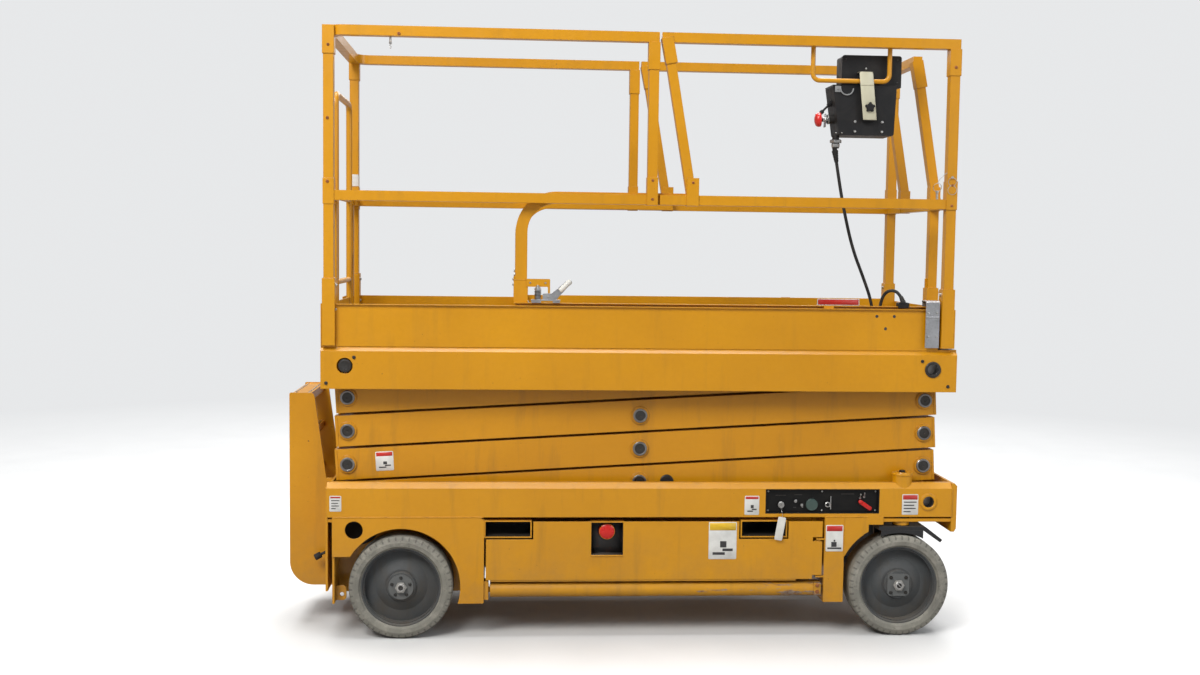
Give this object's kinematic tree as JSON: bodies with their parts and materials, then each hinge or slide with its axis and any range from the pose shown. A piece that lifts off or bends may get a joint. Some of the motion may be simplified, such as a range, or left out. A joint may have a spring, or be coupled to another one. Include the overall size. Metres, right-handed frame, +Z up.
{
  "type": "scissor lift",
  "caption": "Narrow electric scissor lift: wheeled chassis with steered front wheels, stacked crossing arms, railed work platform with a sliding deck extension and a rear ladder.",
  "frame": {"origin": "on the floor under the centre of the outline", "axes": "+X to the steered front end, +Y to the side away from the ground controls, +Z up"},
  "size_m": [2.51, 0.81, 2.2219],
  "materials": {
    "yellow_paint": "satin chrome yellow paint, worn at edges",
    "grey_rim": "satin grey wheel paint",
    "tyre_rubber": "pale grey solid non-marking rubber",
    "black_paint": "satin black paint",
    "black_plastic": "fine-grained black plastic",
    "pin_steel": "turned steel, lightly greased",
    "chromed_rod": "ground and chromed rod",
    "zinc": "zinc plated sheet"
  },
  "bodies": {
    "chassis": {"chassis_frame": "yellow_paint", "base_pin": "pin_steel", "rear_skirts": "yellow_paint", "ladder": "yellow_paint", "rear_lever": "black_plastic", "ground_controls": "black_plastic", "rear_drive": "black_paint"},
    "wheel_rear_near": {"tyre_rear_near": "tyre_rubber", "rim_rear_near": "grey_rim"},
    "wheel_rear_far": {"tyre_rear_far": "tyre_rubber", "rim_rear_far": "grey_rim"},
    "steer_near": {"knuckle_near": "black_paint"},
    "steer_far": {"knuckle_far": "black_paint"},
    "wheel_front_near": {"tyre_front_near": "tyre_rubber", "rim_front_near": "grey_rim"},
    "wheel_front_far": {"tyre_front_far": "tyre_rubber", "rim_front_far": "grey_rim"},
    "inner_1": {"inner_arms_1": "yellow_paint"},
    "outer_1": {"outer_arms_1": "yellow_paint"},
    "inner_2": {"inner_arms_2": "yellow_paint"},
    "outer_2": {"outer_arms_2": "yellow_paint"},
    "inner_3": {"inner_arms_3": "yellow_paint"},
    "outer_3": {"outer_arms_3": "yellow_paint"},
    "inner_4": {"inner_arms_4": "yellow_paint"},
    "outer_4": {"outer_arms_4": "yellow_paint"},
    "barrel": {"cylinder_barrel": "black_paint"},
    "rod": {"cylinder_rod": "chromed_rod"},
    "platform": {"platform_frame": "yellow_paint", "platform_pin": "pin_steel", "fixed_rails": "yellow_paint"},
    "gate": {"gate": "yellow_paint"},
    "extension": {"extension_deck": "yellow_paint", "extension_rails": "yellow_paint", "deck_latch": "zinc", "toe_strap": "zinc", "control_box": "black_plastic", "control_hanger": "yellow_paint", "control_cable": "black_plastic", "cable_plug": "black_plastic"},
    "tray_near": {"tray_near": "yellow_paint", "battery_block": "black_plastic"},
    "tray_far": {"tray_far": "yellow_paint", "power_unit": "black_paint"},
    "guard_near": {"guard_near": "yellow_paint"},
    "guard_far": {"guard_far": "yellow_paint"}
  },
  "joints": [
    {"name": "wheel_rear_near_turn", "type": "hinge", "parent": "chassis", "child": "wheel_rear_near", "pos_m": [-0.82, -0.3415, 0.1905], "axis": [0, 1, 0], "continuous": true},
    {"name": "wheel_rear_far_turn", "type": "hinge", "parent": "chassis", "child": "wheel_rear_far", "pos_m": [-0.82, 0.3415, 0.1905], "axis": [0, 1, 0], "continuous": true},
    {"name": "steer_near", "type": "hinge", "parent": "chassis", "child": "steer_near", "pos_m": [1.054, -0.35, 0.45], "axis": [0, 0, 1], "range_deg": [-72, 72]},
    {"name": "steer_far", "type": "hinge", "parent": "chassis", "child": "steer_far", "pos_m": [1.054, 0.35, 0.45], "axis": [0, 0, 1], "range_deg": [-72, 72]},
    {"name": "wheel_front_near_turn", "type": "hinge", "parent": "steer_near", "child": "wheel_front_near", "pos_m": [1.04, -0.3415, 0.1905], "axis": [0, 1, 0], "continuous": true},
    {"name": "wheel_front_far_turn", "type": "hinge", "parent": "steer_far", "child": "wheel_front_far", "pos_m": [1.04, 0.3415, 0.1905], "axis": [0, 1, 0], "continuous": true},
    {"name": "lift", "type": "hinge", "parent": "chassis", "child": "inner_1", "pos_m": [1.145, 0, 0.507], "axis": [0, 1, 0], "range_deg": [0, 56.4]},
    {"name": "mid_pin_1", "type": "hinge", "parent": "inner_1", "child": "outer_1", "pos_m": [0.06079, 0, 0.56937], "axis": [0, 1, 0], "range_deg": [-113, 0]},
    {"name": "front_pin_1", "type": "hinge", "parent": "outer_1", "child": "inner_2", "pos_m": [1.145, 0, 0.63175], "axis": [0, 1, 0], "range_deg": [0, 113]},
    {"name": "mid_pin_2", "type": "hinge", "parent": "inner_2", "child": "outer_2", "pos_m": [0.06079, 0, 0.69412], "axis": [0, 1, 0], "range_deg": [-113, 0]},
    {"name": "front_pin_2", "type": "hinge", "parent": "outer_2", "child": "inner_3", "pos_m": [1.145, 0, 0.7565], "axis": [0, 1, 0], "range_deg": [0, 113]},
    {"name": "mid_pin_3", "type": "hinge", "parent": "inner_3", "child": "outer_3", "pos_m": [0.06079, 0, 0.81888], "axis": [0, 1, 0], "range_deg": [-113, 0]},
    {"name": "front_pin_3", "type": "hinge", "parent": "outer_3", "child": "inner_4", "pos_m": [1.145, 0, 0.88125], "axis": [0, 1, 0], "range_deg": [0, 113]},
    {"name": "mid_pin_4", "type": "hinge", "parent": "inner_4", "child": "outer_4", "pos_m": [0.06079, 0, 0.94363], "axis": [0, 1, 0], "range_deg": [-113, 0]},
    {"name": "platform_pin", "type": "hinge", "parent": "outer_4", "child": "platform", "pos_m": [1.145, 0, 1.006], "axis": [0, 1, 0], "range_deg": [0, 56.5]},
    {"name": "barrel_pin", "type": "hinge", "parent": "inner_1", "child": "barrel", "pos_m": [0.77361, 0, 0.52837], "axis": [0, 1, 0], "range_deg": [0, 9.56]},
    {"name": "rod_slide", "type": "slide", "parent": "barrel", "child": "rod", "axis": [-0.9949, 0, 0.1013], "range_m": [0, 0.7877]},
    {"name": "extension_slide", "type": "slide", "parent": "platform", "child": "extension", "axis": [1, 0, 0], "range_m": [0, 0.92]},
    {"name": "gate_hinge", "type": "hinge", "parent": "platform", "child": "gate", "pos_m": [-1.08, 0.228, 1.5], "axis": [0, 0, 1], "range_deg": [0, 90]},
    {"name": "tray_near_hinge", "type": "hinge", "parent": "chassis", "child": "tray_near", "pos_m": [0.733, -0.382, 0.3], "axis": [0, 0, 1], "range_deg": [0, 85]},
    {"name": "tray_far_hinge", "type": "hinge", "parent": "chassis", "child": "tray_far", "pos_m": [0.733, 0.382, 0.3], "axis": [0, 0, -1], "range_deg": [0, 85]},
    {"name": "guard_near_hinge", "type": "hinge", "parent": "chassis", "child": "guard_near", "pos_m": [0.12, -0.362, 0.174], "axis": [-1, 0, 0], "range_deg": [0, 90]},
    {"name": "guard_far_hinge", "type": "hinge", "parent": "chassis", "child": "guard_far", "pos_m": [0.12, 0.362, 0.174], "axis": [1, 0, 0], "range_deg": [0, 90]}
  ],
  "couplings": [
    {"joint": "steer_far", "follows": "steer_near", "ratio": 1},
    {"joint": "mid_pin_1", "follows": "lift", "ratio": -2},
    {"joint": "front_pin_1", "follows": "lift", "ratio": 2},
    {"joint": "mid_pin_2", "follows": "lift", "ratio": -2},
    {"joint": "front_pin_2", "follows": "lift", "ratio": 2},
    {"joint": "mid_pin_3", "follows": "lift", "ratio": -2},
    {"joint": "front_pin_3", "follows": "lift", "ratio": 2},
    {"joint": "mid_pin_4", "follows": "lift", "ratio": -2},
    {"joint": "platform_pin", "follows": "lift", "ratio": 1},
    {"joint": "barrel_pin", "follows": "lift", "ratio": 0.16854},
    {"joint": "rod_slide", "follows": "lift", "m_per_rad": 0.79916},
    {"joint": "guard_near_hinge", "follows": "lift", "ratio": 1.594},
    {"joint": "guard_far_hinge", "follows": "lift", "ratio": 1.594}
  ]
}
